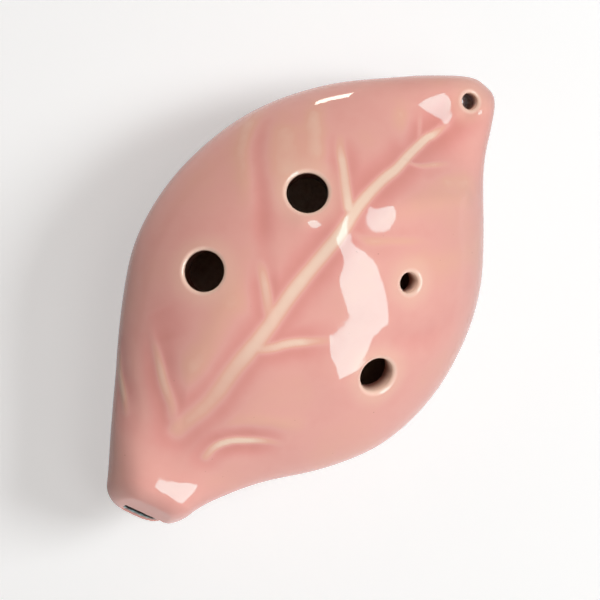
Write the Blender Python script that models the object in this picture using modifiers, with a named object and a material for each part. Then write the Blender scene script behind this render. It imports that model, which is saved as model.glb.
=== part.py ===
"""A leaf-shaped, six-hole vessel flute (ocarina) in glazed ceramic, lying on the flat foot of its belly.

It is made as it is pressed in clay: two moulded half shells that meet at a level seam, a block that
fills the mouthpiece and roofs the windway, and a labium set into the far end of the sound window.
The joints between them are JOINT_GAP wide, the thickness of the slip that lutes them together.

Leaf coordinates: "along" runs from the mouthpiece to the leaf's tip, "across" is positive on the
player's left, and heights are measured from the seam. The finished part has +X along, +Y across and
+Z up, with its origin in the middle of the foot.
"""

import math

import bmesh
import bpy
from mathutils import Matrix, Vector

# --- The leaf -------------------------------------------------------------------------------------
LEAF_LENGTH = 0.1134
LEAF_WIDTH = 0.0708
DOME_HEIGHT = 0.0225  # seam to the highest point of the ridge
BELLY_DEPTH = 0.0138  # seam to the lowest point, before the foot is ground flat
FOOT_GRIND = 0.0005  # what the flat foot takes off the belly
SEAM_HEIGHT = BELLY_DEPTH - FOOT_GRIND
DOME_FULLNESS = 1.8  # 2 is an ellipse in cross-section, less is closer to a roof
MOUTH_FULLNESS = 3.8  # the mouthpiece is flatter on top
MOUTH_FULLNESS_END = 0.028  # from the end face to where the dome has its own fullness
TIP_FULLNESS = 3.4  # so is the tab at the leaf's tip
TIP_FULLNESS_START = 0.084  # where the dome starts to flatten towards the tip
BELLY_FULLNESS = 2.4
NOSE_LENGTH = 0.009  # stretch over which the leaf's tip closes
BEAK_ROUNDING = 0.0028  # rounding round the mouthpiece's end face
BEAK_YAW = math.radians(14.0)  # the end face turns this far towards the player's right
BEAK_YAW_END = 0.020  # where the cross-sections stand square to the leaf again
BEAK_RAKE = math.radians(24.0)  # the end face leans back this far, so that its lower lip leads
BEAK_RAKE_END = 0.014

# Each row is a place along the leaf, as a share of its length, and a size there, as a share of the
# largest one: of half LEAF_WIDTH, of LEAF_WIDTH, of DOME_HEIGHT and of BELLY_DEPTH.
PEAK_SHARE = 0.53  # the leaf's thickest place
HALF_WIDTH_SHARES = (
    (0.0, 0.215), (0.04, 0.27), (0.08, 0.345), (0.17, 0.53), (0.27, 0.767), (0.37, 0.938), (0.49, 1.0),
    (0.61, 0.952), (0.71, 0.832), (0.81, 0.612), (0.89, 0.384), (0.95, 0.238), (1.0, 0.15),
)
MIDDLE_SHARES = (
    (0.0, 0.0), (0.04, 0.015), (0.09, 0.035), (0.17, 0.058), (0.27, 0.05), (0.49, 0.051),
    (0.70, 0.062), (0.83, 0.074), (0.90, 0.065), (0.95, 0.045), (1.0, 0.02),
)
DOME_SHARES = (
    (0.0, 0.37), (0.05, 0.36), (0.10, 0.365), (0.14, 0.42), (0.19, 0.545), (0.30, 0.79), (0.41, 0.95),
    (PEAK_SHARE, 1.0), (0.65, 0.955), (0.70, 0.89), (0.75, 0.775), (0.795, 0.61), (0.825, 0.48),
    (0.855, 0.39), (0.885, 0.365), (1.0, 0.365),
)
BELLY_SHARES = (
    (0.0, 0.41), (0.09, 0.52), (0.19, 0.69), (0.30, 0.86), (0.41, 0.965), (PEAK_SHARE, 1.0),
    (0.65, 0.965), (0.75, 0.84), (0.85, 0.62), (0.93, 0.45), (1.0, 0.35),
)
FOOT_ALONG = PEAK_SHARE * LEAF_LENGTH

# The veins stand up from the dome. The side veins leave the midrib in pairs, thinner towards the tip.
MIDRIB_WIDTH = 0.0034
MIDRIB_HEIGHT = 0.0007
SIDE_VEIN_WIDTH = 0.0026
SIDE_VEIN_HEIGHT = 0.0005
PAIR_SHARES = (1.0, 0.92, 0.85, 0.70)  # each pair's size, as a share of the first pair's
# Places a vein runs through: along as a share of the leaf's length, across as one of its half width.
MIDRIB_PLACES = ((0.14, 0.13), (0.34, 0.125), (0.52, 0.165), (0.66, 0.165), (0.86, 0.0))
LEFT_VEIN_PLACES = (
    ((0.15, 0.14), (0.165, 0.34), (0.205, 0.56), (0.265, 0.78)),
    ((0.37, 0.13), (0.405, 0.21), (0.445, 0.31), (0.49, 0.45)),
    ((0.62, 0.18), (0.65, 0.26), (0.68, 0.37), (0.715, 0.52)),
    ((0.79, 0.09), (0.825, 0.16), (0.86, 0.30)),
)
RIGHT_VEIN_PLACES = (
    ((0.15, 0.12), (0.165, -0.12), (0.20, -0.31), (0.255, -0.53)),
    ((0.34, 0.12), (0.375, 0.0), (0.42, -0.10), (0.47, -0.24)),
    ((0.57, 0.16), (0.605, 0.03), (0.65, -0.14), (0.70, -0.34)),
    ((0.755, 0.125), (0.785, -0.03), (0.83, -0.30)),
)
VEIN_OUTLINE = ((-0.5, -0.5), (-0.26, 0.6), (0.0, 1.0), (0.26, 0.6), (0.5, -0.5))  # of width, height
VEIN_SINK = 0.0012  # how deep a vein's root reaches into the wall
VEIN_TAPER = 0.5  # a vein's size at its end, as a share of that at its start
VEIN_DIVE = 0.0006  # how far each end of a vein dips under the dome

# --- The sound chamber ----------------------------------------------------------------------------
SIDE_WALL = 0.0045
DOME_WALL = 0.0042
BELLY_WALL = 0.0048
CHAMBER_LEAD = 0.001  # the chamber starts this far in front of the sound window
TIP_SOLID = 0.0115  # solid clay at the leaf's tip, which carries the strap hole
CHAMBER_FRONT_CAP = 0.008
CHAMBER_TIP_CAP = 0.014

# --- The voicing: windway, block, window and labium -------------------------------------------------
JOINT_GAP = 0.0003
WINDWAY_MOUTH_WIDTH = 0.0094
WINDWAY_EXIT_WIDTH = 0.0084
WINDWAY_OFFSET = 0.0014  # its mouth lies this far to the player's right of the mouthpiece's middle
WINDWAY_MOUTH_HEIGHT = 0.0017
WINDWAY_EXIT_HEIGHT = 0.0011
MOUTH_LIP = 0.0019  # clay under the windway at the mouth
WINDOW_LIP = 0.0027  # clay under the windway at the window
WINDOW_START = 0.024  # from the mouth to the window, down the windway
WINDOW_LENGTH = 0.0054
WINDOW_MARGIN = 0.0002  # the window is wider than the windway's exit by this much on each side
WINDOW_HEADROOM = 0.0024  # the window's cut runs on this far over the windway, into the chamber
LABIUM_SEAT = 0.0100  # length of the labium in the belly's wall
LABIUM_EDGE = 0.0003  # thickness of its edge
LABIUM_RAMP = math.radians(32.0)
END_WALL = 0.0036  # clay between the mouthpiece's end face and the block
BLOCK_MOUTH_SIDE = 0.0010  # the block stands out this far on each side of the windway, at its mouth end
BLOCK_INNER_SIDE = 0.0040
BLOCK_MOUTH_ROOF = 0.0046  # clay over the block at the mouth end
BLOCK_INNER_ROOF = 0.0062  # clay over the block at the chamber end
POCKET_OPENING = 0.0030  # the block's pocket runs on this far, to open into the chamber

# --- The holes --------------------------------------------------------------------------------------
LEFT_INDEX_BORE = 0.0080
LEFT_MIDDLE_BORE = 0.0080
RIGHT_INDEX_BORE = 0.0041
RIGHT_MIDDLE_BORE = 0.0071
LEFT_THUMB_BORE = 0.0080
RIGHT_THUMB_BORE = 0.0064
# Each hole's bore, and its place: along as a share of the leaf's length, across as one of its half width.
FINGER_HOLES = {
    "left_index": (LEFT_INDEX_BORE, 0.615, 0.445),
    "left_middle": (LEFT_MIDDLE_BORE, 0.395, 0.615),
    "right_index": (RIGHT_INDEX_BORE, 0.612, -0.375),
    "right_middle": (RIGHT_MIDDLE_BORE, 0.452, -0.56),
}
THUMB_HOLES = {
    "left_thumb": (LEFT_THUMB_BORE, 0.60, 0.60),
    "right_thumb": (RIGHT_THUMB_BORE, 0.60, -0.60),
}
HOLE_EASE = 0.0005  # each hole's edge is eased by this much
HOLE_CUT_DEPTH = 0.009
STRAP_HOLE_BORE = 0.0034
STRAP_HOLE_INSET = 0.0060  # from the leaf's very tip to the hole's middle
STRAP_HOLE_SHARE = -0.03  # across, of the half width

# --- The mesh ---------------------------------------------------------------------------------------
RINGS = 36
AROUND = 48
ROUNDING_RINGS = 4
NOSE_RINGS = 7
CHAMBER_RINGS = 18
CHAMBER_AROUND = 32
VEIN_RINGS = 12
BORE_SIDES = 32
BEYOND = 0.010  # how far a cutter runs past what it cuts
SHARP_ANGLE = math.radians(35)
MERGE_DISTANCE = 1e-5
GLAZE = ("pink_glaze", (0.80, 0.38, 0.34, 1.0), 0.12)
BISQUE = ("bisque_clay", (0.78, 0.62, 0.50, 1.0), 0.85)


# --- Sizes along the leaf ---------------------------------------------------------------------------
def smooth(table, place):
    """The table's value at this share of the leaf's length, on a smooth curve through its rows."""
    last = len(table) - 1
    row = 0
    while row < last - 1 and place > table[row + 1][0]:
        row += 1

    def slope(i):
        low, high = max(i - 1, 0), min(i + 1, last)
        return (table[high][1] - table[low][1]) / (table[high][0] - table[low][0])

    (x0, y0), (x1, y1) = table[row], table[row + 1]
    span = x1 - x0
    s = (place - x0) / span
    return (
        (1 + 2 * s) * (1 - s) ** 2 * y0
        + s * (1 - s) ** 2 * span * slope(row)
        + s * s * (3 - 2 * s) * y1
        + s * s * (s - 1) * span * slope(row + 1)
    )


def half_width(along):
    return LEAF_WIDTH / 2 * smooth(HALF_WIDTH_SHARES, along / LEAF_LENGTH)


def middle(along):
    return LEAF_WIDTH * smooth(MIDDLE_SHARES, along / LEAF_LENGTH)


def dome(along):
    return DOME_HEIGHT * smooth(DOME_SHARES, along / LEAF_LENGTH)


def belly(along):
    return BELLY_DEPTH * smooth(BELLY_SHARES, along / LEAF_LENGTH)


def fading(along, end):
    """1 at the mouthpiece's end face, falling smoothly to 0 at end."""
    s = min(max(along / end, 0.0), 1.0)
    return 1 - s * s * (3 - 2 * s)


def dome_fullness(along):
    mouth = (MOUTH_FULLNESS - DOME_FULLNESS) * fading(along, MOUTH_FULLNESS_END)
    rise = 1 - fading(along - TIP_FULLNESS_START, LEAF_LENGTH - NOSE_LENGTH - TIP_FULLNESS_START)
    return DOME_FULLNESS + mouth + (TIP_FULLNESS - DOME_FULLNESS) * rise


def placed(along, across, height):
    """A point of the finished part, from its cross-section's place and the point's place in it."""
    yaw = BEAK_YAW * fading(along, BEAK_YAW_END)
    rake = BEAK_RAKE * fading(along, BEAK_RAKE_END)
    return Vector((
        along + height * math.tan(rake) - across * math.sin(yaw) - FOOT_ALONG,
        middle(along) + across * math.cos(yaw) - middle(FOOT_ALONG),
        SEAM_HEIGHT + height,
    ))


def ring(along, width, top, bottom, closing=1.0, around=AROUND):
    """A cross-section: two half superellipses that meet at the seam, closing to a point at 0."""
    points = []
    for i in range(around):
        angle = 2 * math.pi * i / around
        fullness, depth = (dome_fullness(along), top) if i <= around // 2 else (BELLY_FULLNESS, -bottom)
        share = math.copysign(abs(math.cos(angle)) ** (2 / fullness), math.cos(angle))
        across = width * closing ** (1 / fullness) * share
        height = depth * abs(math.sin(angle)) * math.sqrt(closing)
        points.append(placed(along, across, height))
    return points


def leaf_surface(along, share, side):
    """The point of the outer surface over (side 1) or under (side -1) this share of the half width."""
    if side > 0:
        fullness, depth = dome_fullness(along), dome(along)
    else:
        fullness, depth = BELLY_FULLNESS, belly(along)
    height = depth * math.sqrt(1 - abs(share) ** fullness)
    return placed(along, half_width(along) * share, side * height)


def leaf_normal(along, share, side):
    step = 0.001
    run = leaf_surface(along + step, share, side) - leaf_surface(along - step, share, side)
    rise = leaf_surface(along, share + step, side) - leaf_surface(along, share - step, side)
    return (run.cross(rise) * side).normalized()


# --- Making objects ---------------------------------------------------------------------------------
def clear_scene():
    for obj in list(bpy.data.objects):
        bpy.data.objects.remove(obj)


def new_collection(name, hidden=False):
    found = bpy.data.collections.new(name)
    bpy.context.scene.collection.children.link(found)
    found.hide_render = hidden
    return found


def add_object(name, bm, collection, place=Matrix.Identity(4)):
    """The mesh as an object whose own axes lie at place."""
    bmesh.ops.recalc_face_normals(bm, faces=bm.faces)
    mesh = bpy.data.meshes.new(name)
    bm.to_mesh(mesh)
    bm.free()
    mesh.shade_smooth()
    mesh.set_sharp_from_angle(angle=SHARP_ANGLE)
    obj = bpy.data.objects.new(name, mesh)
    obj.matrix_world = place
    collection.objects.link(obj)
    return obj


def add_cutter(name, bm, place=Matrix.Identity(4)):
    obj = add_object(name, bm, bpy.data.collections["cutters"], place)
    obj.hide_render = True
    obj.display_type = "WIRE"
    return obj


def loft(rings):
    """A closed skin over the rings: a ring of one point closes it to that point, others get a cap."""
    bm = bmesh.new()
    loops = [[bm.verts.new(point) for point in points] for points in rings]
    around = max(len(points) for points in rings)
    for first, second in zip(loops, loops[1:]):
        for i in range(around):
            j = (i + 1) % around
            corners = [first[i % len(first)], first[j % len(first)]]
            corners += [second[j % len(second)], second[i % len(second)]]
            bm.faces.new(list(dict.fromkeys(corners)))
    for end in (loops[0], loops[-1]):
        if len(end) > 1:
            bm.faces.new(end)
    return bm


def box(low, high):
    bm = bmesh.new()
    bmesh.ops.create_cube(bm, size=1.0)
    for vert in bm.verts:
        vert.co = Vector(high[i] if vert.co[i] > 0 else low[i] for i in range(3))
    return bm


def turned_cutter(name, profile, place):
    """A cutter turned about its own Z, from points (radius, height) that run from the top to the bottom."""
    bm = bmesh.new()
    verts = [bm.verts.new((radius, 0, height)) for radius, height in profile]
    for pair in zip(verts, verts[1:]):
        bm.edges.new(pair)
    cutter = add_cutter(name, bm, place)
    screw = cutter.modifiers.new("turn", "SCREW")
    screw.steps = screw.render_steps = BORE_SIDES
    screw.use_merge_vertices = True
    screw.merge_threshold = MERGE_DISTANCE
    return cutter


def eased_mouth(radius, height, outward):
    """A hole's edge at this height: its bore, then the ease, then straight on out of the clay."""
    inside, outside = height - outward * HOLE_EASE, height + outward * HOLE_EASE
    flared, beyond = radius + 2 * HOLE_EASE, height + outward * BEYOND
    return [(radius, inside), (flared, outside), (flared, beyond), (0, beyond)]


def material(name, colour, roughness):
    made = bpy.data.materials.new(name)
    made.use_nodes = True
    shader = made.node_tree.nodes["Principled BSDF"]
    shader.inputs["Base Color"].default_value = colour
    shader.inputs["Roughness"].default_value = roughness
    shader.inputs["Metallic"].default_value = 0.0
    return made


def boolean(obj, other, operation="DIFFERENCE"):
    modifier = obj.modifiers.new(other.name, "BOOLEAN")
    modifier.operation = operation
    modifier.object = other


# --- The leaf's outer form and its chamber ----------------------------------------------------------
def leaf_form():
    """The whole leaf as one solid: rounded mouthpiece end, body, and the tip closed over its nose."""
    rings = []
    for i in range(ROUNDING_RINGS):
        turn = math.pi / 2 * i / ROUNDING_RINGS
        along = BEAK_ROUNDING * (1 - math.cos(turn))
        pinch = BEAK_ROUNDING * (1 - math.sin(turn))
        rings.append(ring(along, half_width(along) - pinch, dome(along) - pinch, belly(along) - pinch))
    nose_start = LEAF_LENGTH - NOSE_LENGTH
    for i in range(RINGS):
        along = BEAK_ROUNDING + (nose_start - BEAK_ROUNDING) * i / RINGS
        rings.append(ring(along, half_width(along), dome(along), belly(along)))
    for i in range(NOSE_RINGS):
        turn = math.pi / 2 * i / NOSE_RINGS
        along = nose_start + NOSE_LENGTH * math.sin(turn)
        rings.append(ring(along, half_width(along), dome(along), belly(along), math.cos(turn) ** 2))
    rings.append([placed(LEAF_LENGTH, 0, 0)])
    return rings


def chamber_form():
    """The hollow inside: the leaf's form less its walls, closed to a point at both ends."""
    start, end = WINDOW_START - CHAMBER_LEAD, LEAF_LENGTH - TIP_SOLID

    def section(along, closing):
        walls = half_width(along) - SIDE_WALL, dome(along) - DOME_WALL, belly(along) - BELLY_WALL
        return ring(along, *walls, closing, CHAMBER_AROUND)

    rings = [[placed(start, 0, 0)]]
    for i in range(1, NOSE_RINGS):
        turn = math.pi / 2 * i / NOSE_RINGS
        rings.append(section(start + CHAMBER_FRONT_CAP * (1 - math.cos(turn)), math.sin(turn) ** 2))
    first, last = start + CHAMBER_FRONT_CAP, end - CHAMBER_TIP_CAP
    for i in range(CHAMBER_RINGS + 1):
        rings.append(section(first + (last - first) * i / CHAMBER_RINGS, 1.0))
    for i in range(1, NOSE_RINGS):
        turn = math.pi / 2 * i / NOSE_RINGS
        rings.append(section(last + CHAMBER_TIP_CAP * math.sin(turn), math.cos(turn) ** 2))
    rings.append([placed(end, 0, 0)])
    return rings


def vein_path(places):
    """Places along a smooth curve through these, which are evenly spaced in the curve's own measure."""
    last = len(places) - 1
    alongs = [(i / last, along) for i, (along, _) in enumerate(places)]
    shares = [(i / last, share) for i, (_, share) in enumerate(places)]
    steps = [i / (VEIN_RINGS - 1) for i in range(VEIN_RINGS)]
    return [(LEAF_LENGTH * smooth(alongs, step), smooth(shares, step)) for step in steps]


def vein_form(width, height, places):
    """A low ridge that follows the dome, growing narrower and lower towards its end."""
    path = vein_path(places)
    points = [leaf_surface(along, share, 1) for along, share in path]
    rings = []
    for i, (along, share) in enumerate(path):
        ahead = (points[min(i + 1, VEIN_RINGS - 1)] - points[max(i - 1, 0)]).normalized()
        outward = leaf_normal(along, share, 1)
        aside = outward.cross(ahead).normalized()
        size = 1 + (VEIN_TAPER - 1) * i / (VEIN_RINGS - 1)
        w, h = width * size, height * size
        dip = VEIN_DIVE if i in (0, VEIN_RINGS - 1) else 0.0
        outline = [(x * w, z * h) for x, z in VEIN_OUTLINE] + [(0, -VEIN_SINK)]
        rings.append([points[i] + aside * x + outward * (z - dip) for x, z in outline])
    return rings


def vein_cutters():
    """The midrib and the pairs of side veins, each a solid that the upper shell takes on."""
    yield add_cutter("midrib", loft(vein_form(MIDRIB_WIDTH, MIDRIB_HEIGHT, MIDRIB_PLACES)))
    for side, veins in (("left", LEFT_VEIN_PLACES), ("right", RIGHT_VEIN_PLACES)):
        for pair, (share, places) in enumerate(zip(PAIR_SHARES, veins), 1):
            form = vein_form(SIDE_VEIN_WIDTH * share, SIDE_VEIN_HEIGHT * share, places)
            yield add_cutter(f"{side}_vein_{pair}", loft(form))


# --- The voicing ------------------------------------------------------------------------------------
def windway_frame():
    """Places the voicing: X runs down the windway from the mouth, Z is measured from the seam."""
    start = Vector((0, middle(0.0) - WINDWAY_OFFSET))
    aim = Vector((WINDOW_START, middle(WINDOW_START))) - start
    shift = Vector((start.x - FOOT_ALONG, start.y - middle(FOOT_ALONG), SEAM_HEIGHT))
    return Matrix.Translation(shift) @ Matrix.Rotation(math.atan2(aim.y, aim.x), 4, "Z")


def windway_floor(along):
    """Height of the windway's floor, on the straight line between its two lips."""
    mouth = MOUTH_LIP - belly(0.0)
    window = WINDOW_LIP - belly(WINDOW_START)
    return mouth + (window - mouth) * along / WINDOW_START


def windway_roof(along):
    growth = (WINDWAY_EXIT_HEIGHT - WINDWAY_MOUTH_HEIGHT) * along / WINDOW_START
    return windway_floor(along) + WINDWAY_MOUTH_HEIGHT + growth


def windway_half_width(along):
    return (WINDWAY_MOUTH_WIDTH + (WINDWAY_EXIT_WIDTH - WINDWAY_MOUTH_WIDTH) * along / WINDOW_START) / 2


def window_half_width():
    return WINDWAY_EXIT_WIDTH / 2 + WINDOW_MARGIN


def tapered_box(along, half_widths, lows, highs):
    """A box down the windway whose half width, underside and top change evenly from end to end."""
    bm = bmesh.new()
    bmesh.ops.create_cube(bm, size=1.0)
    for vert in bm.verts:
        end = int(vert.co.x > 0)
        across = math.copysign(half_widths[end], vert.co.y)
        vert.co = Vector((along[end], across, (highs if vert.co.z > 0 else lows)[end]))
    return bm


def windway_form():
    """The air's way: from outside the mouth to the window, open upwards into the block's pocket."""
    along = (-BEYOND, WINDOW_START + JOINT_GAP)
    half_widths, floors, roofs = (
        [size(x) for x in along] for size in (windway_half_width, windway_floor, windway_roof)
    )
    return tapered_box(along, half_widths, floors, roofs)


def block_form(clearance, end):
    """The block, or with a clearance the pocket that it is luted into, up to end along the windway."""
    along = (END_WALL - clearance, end)

    def between(first, last, x):
        return first + (last - first) * (x - END_WALL) / (WINDOW_START - END_WALL)

    def side(x):
        return windway_half_width(x) + between(BLOCK_MOUTH_SIDE, BLOCK_INNER_SIDE, x)

    def top(x):
        return between(dome(END_WALL) - BLOCK_MOUTH_ROOF, dome(WINDOW_START) - BLOCK_INNER_ROOF, x)

    return tapered_box(
        along,
        [side(x) + clearance for x in along],
        [windway_roof(x) - clearance for x in along],
        [top(x) + clearance for x in along],
    )


def window_form():
    """The sound window and the labium's seat behind it, from under the belly into the chamber."""
    along = (WINDOW_START, WINDOW_START + WINDOW_LENGTH + LABIUM_SEAT)
    bottom, top = -BELLY_DEPTH - BEYOND, windway_roof(WINDOW_START) + WINDOW_HEADROOM
    return tapered_box(along, [window_half_width()] * 2, [bottom] * 2, [top] * 2)


def labium_form():
    """A wedge whose edge stands in the middle of the jet; the leaf's outer form trims its foot."""
    edge = WINDOW_START + WINDOW_LENGTH
    end = edge + LABIUM_SEAT - JOINT_GAP
    jet = (windway_floor(WINDOW_START) + windway_roof(WINDOW_START)) / 2
    low = jet - LABIUM_EDGE / 2
    lows = (low, low - (end - edge) * math.tan(LABIUM_RAMP))
    highs = (low + LABIUM_EDGE, BELLY_WALL - belly(end))
    return tapered_box((edge, end), [window_half_width() - JOINT_GAP] * 2, lows, highs)


# --- The pieces -------------------------------------------------------------------------------------
def half_space(name, low, high):
    """A slab of the room round the leaf between two heights."""
    reach = LEAF_LENGTH + BEYOND
    return add_cutter(name, box((-reach, -reach, low), (reach, reach, high)))


def hole_cutters(holes, side):
    for name, (bore, place, share) in holes.items():
        along = place * LEAF_LENGTH
        turn = leaf_normal(along, share, side).to_track_quat("Z", "Y").to_matrix().to_4x4()
        profile = eased_mouth(bore / 2, 0, 1)[::-1] + [(bore / 2, -HOLE_CUT_DEPTH), (0, -HOLE_CUT_DEPTH)]
        mouth = Matrix.Translation(leaf_surface(along, share, side)) @ turn
        yield turned_cutter(name + "_hole", profile, mouth)


def strap_hole_cutter():
    along = LEAF_LENGTH - STRAP_HOLE_INSET
    top, bottom = [leaf_surface(along, STRAP_HOLE_SHARE, side) for side in (1, -1)]
    profile = eased_mouth(STRAP_HOLE_BORE / 2, top.z, 1)[::-1]
    profile += eased_mouth(STRAP_HOLE_BORE / 2, bottom.z, -1)
    return turned_cutter("strap_hole", profile, Matrix.Translation((top.x, top.y, 0)))


def make_shell(name, leaf, additions, cutters, glaze, parts):
    shell = bpy.data.objects.new(name, leaf.data.copy())
    parts.objects.link(shell)
    shell.data.name = name
    shell.data.materials.append(glaze)
    for addition in additions:
        boolean(shell, addition, "UNION")
    for cutter in cutters:
        boolean(shell, cutter)
    return shell


def make_block(bisque, parts):
    block = add_object("windway_block", block_form(0.0, WINDOW_START), parts, windway_frame())
    block.data.materials.append(bisque)


def make_labium(leaf, bisque, parts):
    labium = add_object("labium", labium_form(), parts, windway_frame())
    labium.data.materials.append(bisque)
    boolean(labium, leaf, "INTERSECT")


def main():
    clear_scene()
    parts = new_collection("leaf_ocarina")
    new_collection("cutters", hidden=True)
    glaze, bisque = material(*GLAZE), material(*BISQUE)

    leaf = add_cutter("leaf_form", loft(leaf_form()))
    chamber = add_cutter("chamber", loft(chamber_form()))
    pocket_form = block_form(JOINT_GAP, WINDOW_START + POCKET_OPENING)
    pocket = add_cutter("block_pocket", pocket_form, windway_frame())
    windway = add_cutter("windway", windway_form(), windway_frame())
    window = add_cutter("window", window_form(), windway_frame())
    strap_hole = strap_hole_cutter()

    above, below = DOME_HEIGHT + SEAM_HEIGHT + BEYOND, -BELLY_DEPTH - BEYOND
    under_seam = half_space("under_seam", below, SEAM_HEIGHT + JOINT_GAP / 2)
    over_seam = half_space("over_seam", SEAM_HEIGHT - JOINT_GAP / 2, above)
    under_foot = half_space("under_foot", below, 0.0)

    upper_cutters = [under_seam, chamber, pocket, strap_hole, *hole_cutters(FINGER_HOLES, 1)]
    make_shell("upper_shell", leaf, vein_cutters(), upper_cutters, glaze, parts)
    lower_cutters = [over_seam, under_foot, chamber, pocket, windway, window, strap_hole]
    lower_cutters += hole_cutters(THUMB_HOLES, -1)
    make_shell("lower_shell", leaf, [], lower_cutters, glaze, parts)
    make_block(bisque, parts)
    make_labium(leaf, bisque, parts)


main()
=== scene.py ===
"""A pink-glazed ceramic leaf ocarina: its fine surfaces, glaze, light, floor and camera.

The body's surface is the zero level of a field of distances in millimetres, negative in the clay. The
field is walked on a grid, its crossings are joined into a mesh, and every corner is then moved onto the
surface and given the field's own gradient as its normal. The relief of the leaf's veins is added after.
"""

import math

import bmesh
import bpy
import numpy as np
from mathutils import Matrix, Vector


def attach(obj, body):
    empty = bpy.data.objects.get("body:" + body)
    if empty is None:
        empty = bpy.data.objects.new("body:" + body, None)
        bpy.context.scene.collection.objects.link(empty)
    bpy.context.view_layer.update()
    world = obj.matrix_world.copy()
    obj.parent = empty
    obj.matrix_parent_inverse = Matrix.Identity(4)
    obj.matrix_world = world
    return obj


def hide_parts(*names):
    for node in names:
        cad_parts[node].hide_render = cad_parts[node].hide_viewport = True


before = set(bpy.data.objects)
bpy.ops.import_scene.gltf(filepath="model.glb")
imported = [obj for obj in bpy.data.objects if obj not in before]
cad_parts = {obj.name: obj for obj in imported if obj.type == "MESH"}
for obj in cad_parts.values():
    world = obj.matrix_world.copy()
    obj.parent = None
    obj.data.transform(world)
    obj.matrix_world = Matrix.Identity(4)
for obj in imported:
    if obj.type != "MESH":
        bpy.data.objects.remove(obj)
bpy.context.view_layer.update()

MM = 0.001

# --- The leaf's sizes in millimetres, as the CAD has them -------------------------------------------
LENGTH, WIDTH, DOME, BELLY, FOOT_GRIND = 113.4, 70.8, 22.5, 13.8, 0.5
SEAM = BELLY - FOOT_GRIND
DOME_FULLNESS, BELLY_FULLNESS = 1.8, 2.4
BEAK_FULLNESS, BEAK_FULLNESS_END = 3.8, 28.0
TIP_FULLNESS, TIP_FULLNESS_START = 3.4, 84.0
NOSE, BEAK_ROUNDING = 9.0, 2.8
YAW, YAW_END = math.radians(14.0), 20.0
RAKE, RAKE_END = math.radians(24.0), 14.0
PEAK = 0.53  # the thickest place, as a share of the length
FOOT = PEAK * LENGTH
# Each row is a place as a share of the length, and a size there as a share of the largest, or of the width
# for MIDDLES. The sizes in HALF_WIDTHS and MIDDLES, but for their first two rows, come from a fit to the
# photographed outline, and were then adjusted a little and rounded.
HALF_WIDTHS = (
    (0.0, 0.215), (0.04, 0.27), (0.08, 0.345), (0.17, 0.53), (0.27, 0.767), (0.37, 0.938), (0.49, 1.0),
    (0.61, 0.952), (0.71, 0.832), (0.81, 0.612), (0.89, 0.384), (0.95, 0.238), (1.0, 0.15),
)
MIDDLES = (
    (0.0, 0.0), (0.04, 0.015), (0.09, 0.035), (0.17, 0.058), (0.27, 0.05), (0.49, 0.051),
    (0.70, 0.062), (0.83, 0.074), (0.90, 0.065), (0.95, 0.045), (1.0, 0.02),
)
DOMES = (
    (0.0, 0.37), (0.05, 0.36), (0.10, 0.365), (0.14, 0.42), (0.19, 0.545), (0.30, 0.79), (0.41, 0.95),
    (PEAK, 1.0), (0.65, 0.955), (0.70, 0.89), (0.75, 0.775), (0.795, 0.61), (0.825, 0.48),
    (0.855, 0.39), (0.885, 0.365), (1.0, 0.365),
)
BELLIES = (
    (0.0, 0.41), (0.09, 0.52), (0.19, 0.69), (0.30, 0.86), (0.41, 0.965), (PEAK, 1.0),
    (0.65, 0.965), (0.75, 0.84), (0.85, 0.62), (0.93, 0.45), (1.0, 0.35),
)
SEAM_BLEND = 3.0  # how far from the seam the dome and the belly melt into each other
TOP_ROUNDING = 0.07  # keeps a ridge off the top where the section's power is below 2
SIDE_WALL, DOME_WALL, BELLY_WALL = 4.5, 4.2, 4.8
CHAMBER = (31.0, 87.9)  # where the chamber's full sections start and end
CHAMBER_CAPS = (8.0, 14.0)

WINDWAY_WIDTHS, WINDWAY_HEIGHTS = (9.4, 8.4), (1.7, 1.1)
WINDWAY_OFFSET = 1.4
LIPS = (1.9, 2.7)  # the clay under the windway at its two ends
# The slot's roof rises towards the mouth over its last 3 mm, in the glazed surface only.
MOUTH_FLARE, FLARE_END = 2.2, 3.0
WINDOW_START, WINDOW_LENGTH, LABIUM_SEAT = 24.0, 5.4, 10.0
LABIUM_EDGE, LABIUM_RAMP = 0.3, math.radians(32.0)
END_WALL, BLOCK_SIDES, BLOCK_ROOFS, POCKET_OPENING = 3.6, (1.0, 4.0), (4.6, 6.2), 3.0

# name: along and across as shares, bore, rounding of the rim, side
HOLES = {
    "left_index": (0.615, 0.445, 8.0, 1.0, 1),
    "left_middle": (0.395, 0.615, 8.0, 1.0, 1),
    "right_index": (0.612, -0.375, 4.1, 0.8, 1),
    "right_middle": (0.452, -0.56, 7.1, 1.0, 1),
    "left_thumb": (0.60, 0.60, 8.0, 1.0, -1),
    "right_thumb": (0.60, -0.60, 6.4, 1.0, -1),
}
STRAP_HOLE = (LENGTH - 6.0, -0.03, 3.4, 0.8)


# --- Sizes along the leaf ---------------------------------------------------------------------------
FINE_STEP, SOFTNESS, SOFT_STEPS = 0.1, 2.0, 60  # mm, mm, and how many steps the softening reaches
FINE = np.arange(-20.0, LENGTH + 20.0, FINE_STEP)


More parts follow.
